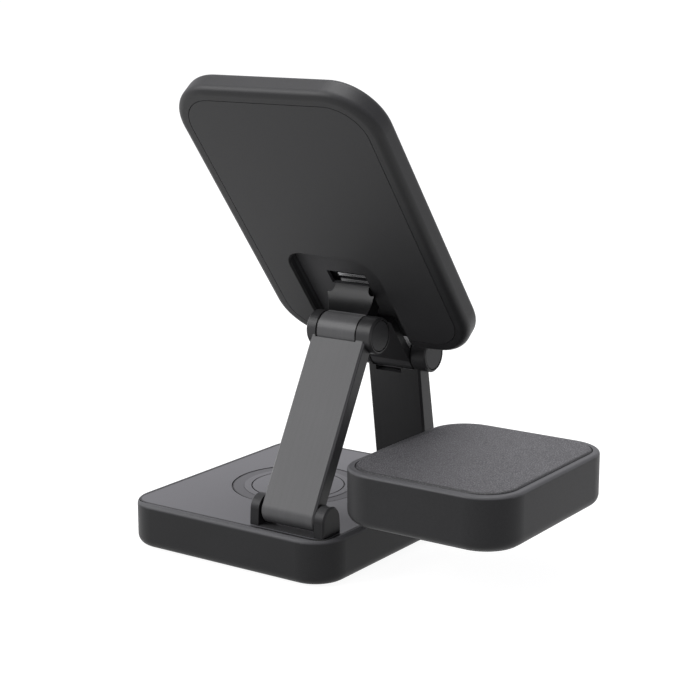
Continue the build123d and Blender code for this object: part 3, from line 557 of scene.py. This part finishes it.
# pebbled hide: cells with raised middles, bent by noise, darker in the creases, partly the hide's own tone
# and partly painted shade
def pebbledHide(name, look):
    material, shader, place = startFinish(
        name, {"Specular IOR Level": look["gloss"], "Sheen Weight": look["sheen"], "Sheen Roughness": 0.5}
    )
    bend = place.make(
        "ShaderNodeTexNoise", {}, {"Vector": place, "Scale": look["cells"] * 0.8, "Detail": 2.0}, "Color"
    )
    shift = bend.make("ShaderNodeVectorMath", {"operation": "SCALE"}, {0: bend, "Scale": look["bend"]})
    bent = place.make("ShaderNodeVectorMath", {"operation": "ADD"}, {0: place, 1: shift})
    cells = place.make(
        "ShaderNodeTexVoronoi",
        {"feature": "DISTANCE_TO_EDGE"},
        {"Vector": bent, "Scale": look["cells"]},
        "Distance",
    )
    domes = ramp(cells, (0.0, 0.0), (0.34, 1.0))
    pores = noise(place, look["cells"] * 3.0, 2.0)
    clouds = noise(place, 60, 3.0)
    amount = domes * 0.7 + pores * 0.2 + clouds * 0.1
    colour = tint(ramp(amount, (0.15, 0.0), (0.85, 1.0)), look["low"], look["high"])
    # a painted shadow along the rolled edge, fading inward over the fold width
    inward = insideDepth(place, look["outline"]) / look["fold"]
    colour = blend(ramp(inward, (0.0, 1.0), (1.0, 0.0)), colour, tint(amount, *look["edge"]))
    rough = look["rough"] - domes * 0.08 + (pores - 0.5) * 0.1
    height = (domes * 0.8 + pores * 0.2) * ramp(inward, (0.5, 0.0), (1.0, 1.0))
    feed(shader, colour=colour, rough=rough, normal=relief(height, look["depth"]))
    return material


def spread(count, half, edge):
    # places from -half to half, closer together towards both ends
    step = np.linspace(-1, 1, count)
    return half * ((1 - edge) * step + edge * np.sin(step * math.pi / 2))


def roundedGrid(look):
    # a square grid carried onto a rounded rectangle: outside the straight core, each corner square
    # goes to a quarter disc, p*sqrt(1-q*q/2) by q*sqrt(1-p*p/2)
    x, y = np.meshgrid(spread(look["across"], look["width"] / 2, look["crowd"]),
                       spread(look["along"], look["length"] / 2, look["crowd"]), indexing="ij")
    r = look["corner"]
    p = np.clip(np.abs(x) - (look["width"] / 2 - r), 0, None) / r
    q = np.clip(np.abs(y) - (look["length"] / 2 - r), 0, None) / r
    px = np.where((p > 0) & (q > 0), p * np.sqrt(1 - q * q / 2), p)
    qy = np.where((p > 0) & (q > 0), q * np.sqrt(1 - p * p / 2), q)
    x = np.sign(x) * (np.minimum(np.abs(x), look["width"] / 2 - r) + r * px)
    y = np.sign(y) * (np.minimum(np.abs(y), look["length"] / 2 - r) + r * qy)
    return x, y


def edgeDepth(x, y, look):
    # how far each point lies inside the rounded rectangle's outline
    r = look["corner"]
    p = np.abs(x) - (look["width"] / 2 - r)
    q = np.abs(y) - (look["length"] / 2 - r)
    outside = np.hypot(np.clip(p, 0, None), np.clip(q, 0, None))
    return r - outside - np.minimum(np.maximum(p, q), 0)


def boundaryLoop(rows, columns):
    # the grid's outer vertices in order, counter-clockwise
    index = np.arange(rows * columns).reshape(rows, columns)
    return np.concatenate([index[:-1, 0], index[-1, :-1], index[:0:-1, -1], index[0, :0:-1]])


def soften(name, look, top, place, material):
    # top sheet from a height grid, a wall down to the seat and one flat underside
    x, y = roundedGrid(look)
    z = top(x, y, edgeDepth(x, y, look), look)
    rows, columns = x.shape
    sheet = np.stack([x.ravel(), y.ravel(), z.ravel()], axis=1)
    index = np.arange(rows * columns).reshape(rows, columns)
    quads = np.stack(
        [index[:-1, :-1], index[1:, :-1], index[1:, 1:], index[:-1, 1:]], axis=-1
    ).reshape(-1, 4)
    loop = boundaryLoop(rows, columns)
    wall = sheet[loop].copy()
    wall[:, 2] = 0
    lower = np.arange(len(loop)) + len(sheet)
    sides = np.stack([loop, lower, np.roll(lower, -1), np.roll(loop, -1)], axis=1)
    points = np.concatenate([sheet, wall])
    matrix = np.array(place)
    points = points @ matrix[:3, :3].T + matrix[:3, 3]
    mesh = bpy.data.meshes.new(name)
    mesh.from_pydata(points.tolist(), [], quads.tolist() + sides.tolist() + [lower[::-1].tolist()])
    mesh.materials.append(material)
    mesh.polygons.foreach_set("use_smooth", np.ones(len(mesh.polygons), dtype=bool))
    mesh.update()
    piece = bpy.data.objects.new(name, mesh)
    bpy.context.scene.collection.objects.link(piece)
    return piece


def crownedSheet(x, y, depth, look):
    # a quarter round along the edge, then a low crown: height + crown * (1-u*u) * (1-v*v)
    inside = np.clip(look["roll"] - depth, 0, look["roll"])
    drop = look["roll"] - np.sqrt(np.clip(look["roll"] ** 2 - inside ** 2, 0, None))
    u = 2 * x / look["width"]
    v = 2 * y / look["length"]
    return look["height"] - drop + look["crown"] * (1 - u * u) * (1 - v * v)


def pebbles(x, y, look):
    # soft bumps in two crossed wave sets whose phases wander, the product of their sines
    k = 2 * math.pi / look["pebble"]
    wander = np.sin(x * k * 0.23 + 1.3 * np.sin(y * k * 0.17))
    wander = wander + np.cos(y * k * 0.19 + 1.1 * np.sin(x * k * 0.13))
    one = np.sin(k * (0.87 * x + 0.5 * y) + 1.9 * wander)
    two = np.sin(k * (-0.5 * x + 0.87 * y) + 2.3 * wander)
    return look["relief"] * one * two


def pebbledTop(x, y, depth, look):
    # the crowned sheet with pebbles that fade out over the rolled edge
    return crownedSheet(x, y, depth, look) + pebbles(x, y, look) * np.clip(depth / look["roll"], 0, 1)


padSheet = {
    "width": 53.8 * mm,
    "length": 65.6 * mm,
    "corner": 10.6 * mm,
    "height": 1.92 * mm,
    "roll": 0.9 * mm,
    "crown": 0.22 * mm,
    "pebble": 1.3 * mm,
    "relief": 0.03 * mm,
    "across": 190,
    "along": 226,
    "crowd": 0.35,
}
padLow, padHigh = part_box("pad_insert")
padMiddle = ((padLow.x + padHigh.x) / 2, (padLow.y + padHigh.y) / 2, padLow.z)
hideLook = {
    "low": (0.036, 0.0355, 0.038),
    "high": (0.120, 0.118, 0.125),
    "rough": 0.54,
    "cells": 1300,
    "bend": 0.3 * mm,
    "depth": 0.12 * mm,
    "gloss": 0.30,
    "sheen": 0.05,
    "fold": 1.2 * mm,
    # edge: colours of the painted shadow along the rolled edge
    "edge": ((0.010, 0.010, 0.0105), (0.030, 0.030, 0.031)),
    "outline": dict(
        coverLook["outline"],
        width=padSheet["width"],
        length=padSheet["length"],
        corner=padSheet["corner"],
        centre=padMiddle,
    ),
}
padHide = pebbledHide("padHide", hideLook)
padTop = soften("pad_top", padSheet, pebbledTop, Matrix.Translation(padMiddle), padHide)
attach(padTop, "side_pad")
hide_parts("pad_insert")
print("pad top done:", len(padTop.data.polygons), "faces")


def guideRing(x, y, depth, look):
    # the crowned sheet with a shallow round groove: groove * exp(-((reach-radius)/width)^2)
    reach = np.hypot(x, y)
    groove = look["groove"] * np.exp(-(((reach - look["ringRadius"]) / look["ringWidth"]) ** 2))
    return crownedSheet(x, y, depth, look) - groove


frontSheet = {
    "width": 65.8 * mm,
    "length": 101.1 * mm,
    "corner": 12.3 * mm,
    "height": 0.56 * mm,
    "roll": 0.3 * mm,
    "crown": 0.1 * mm,
    "groove": 0.16 * mm,
    "ringRadius": 27.0 * mm,
    "ringWidth": 0.55 * mm,
    "across": 180,
    "along": 250,
    "crowd": 0.3,
}
seatDepth = 0.6 * mm
frontSide = Vector((1, 0, 0))
frontCentre = frontMiddle - frontOut * seatDepth
frontTurn = Matrix((frontSide, frontOut.cross(frontSide), frontOut)).transposed()
frontPlace = Matrix.Translation(frontCentre) @ frontTurn.to_4x4()
siliconeLook = dict(rubberLook, low=(0.020, 0.020, 0.0208), high=(0.030, 0.030, 0.031), rough=0.62)
siliconeSkin = mouldedPlastic("siliconeSkin", siliconeLook)
frontTop = soften("front_sheet", frontSheet, guideRing, frontPlace, siliconeSkin)
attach(frontTop, "phone_plate")
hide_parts("front_pad")
print("front sheet done:", len(frontTop.data.polygons), "faces")

# stage: pale floor with a little glow of its own, so that the shadow under the charger stays faint
floorLook = {"size": 30.0, "level": -0.3 * mm, "shade": 0.25, "glow": 0.93}


def makeFloor(look):
    half = look["size"] / 2
    mesh = bpy.data.meshes.new("floor")
    corners = [(-half, -half), (half, -half), (half, half), (-half, half)]
    mesh.from_pydata([(x, y, look["level"]) for x, y in corners], [], [(0, 1, 2, 3)])
    shade = look["shade"]
    material, shader, place = startFinish("paleFloor", {
        "Base Color": (shade, shade, shade, 1),
        "Roughness": 0.9,
        "Specular IOR Level": 0.0,
        "Emission Color": (1, 1, 1, 1),
        "Emission Strength": look["glow"],
    })
    mesh.materials.append(material)
    floor = bpy.data.objects.new("floor", mesh)
    bpy.context.scene.collection.objects.link(floor)
    floor.visible_diffuse = False


makeFloor(floorLook)


# studio: softboxes given by place, aim, size and watts
lightLook = {
    "keyLeft": ((-0.60, -0.75, 0.75), (0.02, -0.02, 0.05), 0.7, 9.0),
    "overhead": ((-0.05, 0.05, 1.2), (0.02, 0.0, 0.05), 0.8, 11.0),
}


def addSoftbox(name, spot, aim, size, watts):
    data = bpy.data.lights.new(name, "AREA")
    data.energy = watts
    data.shape = "SQUARE"
    data.size = size
    light = bpy.data.objects.new(name, data)
    light.location = spot
    light.rotation_euler = (Vector(aim) - Vector(spot)).to_track_quat("-Z", "Y").to_euler()
    light.visible_camera = False
    bpy.context.scene.collection.objects.link(light)


for lightName, (lightSpot, lightAim, lightSize, lightWatts) in lightLook.items():
    addSoftbox(lightName, lightSpot, lightAim, lightSize, lightWatts)

# sky: a bright band round the horizon, calmer overhead and dim under the floor
skyLook = {"stops": ((0.47, 0.06), (0.51, 0.95), (0.66, 0.80), (0.82, 0.42)), "cast": (0.985, 0.975, 1.03)}


def makeSky(look):
    world = bpy.data.worlds.new("studioSky")
    world.use_nodes = True
    tree = world.node_tree
    tree.nodes.clear()
    aim = Socket(tree, None).make("ShaderNodeTexCoord", {}, {}, "Generated")
    up = aim.make("ShaderNodeSeparateXYZ", {}, {"Vector": aim}, "Z")
    level = ramp(up * 0.5 + 0.5, *look["stops"])
    background = level.make("ShaderNodeBackground", {}, {"Color": (*look["cast"], 1), "Strength": level})
    output = tree.nodes.new("ShaderNodeOutputWorld")
    tree.links.new(background.plug, output.inputs[0])
    bpy.context.scene.world = world


makeSky(skyLook)
bpy.context.scene.view_settings.view_transform = "Standard"

# camera: measured from the base's edges in the view
cameraLook = {
    "spot": (330.11 * mm, -452.82 * mm, 188.01 * mm),
    "yaw": -0.603598,
    "pitch": 0.220981,
    "roll": -0.000701,
    "focalPixels": 1735.285,
    "frame": 700,
    "sensor": 36.0,
}


def addCamera(look):
    ahead = Vector((
        math.sin(look["yaw"]) * math.cos(look["pitch"]),
        math.cos(look["yaw"]) * math.cos(look["pitch"]),
        -math.sin(look["pitch"]),
    ))
    right = Vector((math.cos(look["yaw"]), -math.sin(look["yaw"]), 0))
    above = right.cross(ahead)
    turn = Matrix((right, above, -ahead)).transposed() @ Matrix.Rotation(look["roll"], 3, "Z")
    data = bpy.data.cameras.new("camera")
    data.sensor_width = look["sensor"]
    data.sensor_fit = "HORIZONTAL"
    data.lens = look["focalPixels"] * look["sensor"] / look["frame"]
    data.clip_start = 0.02
    data.clip_end = 100.0
    camera = bpy.data.objects.new("camera", data)
    camera.matrix_world = Matrix.Translation(look["spot"]) @ turn.to_4x4()
    bpy.context.scene.collection.objects.link(camera)
    bpy.context.scene.camera = camera


addCamera(cameraLook)
print("stage, lights and camera done")
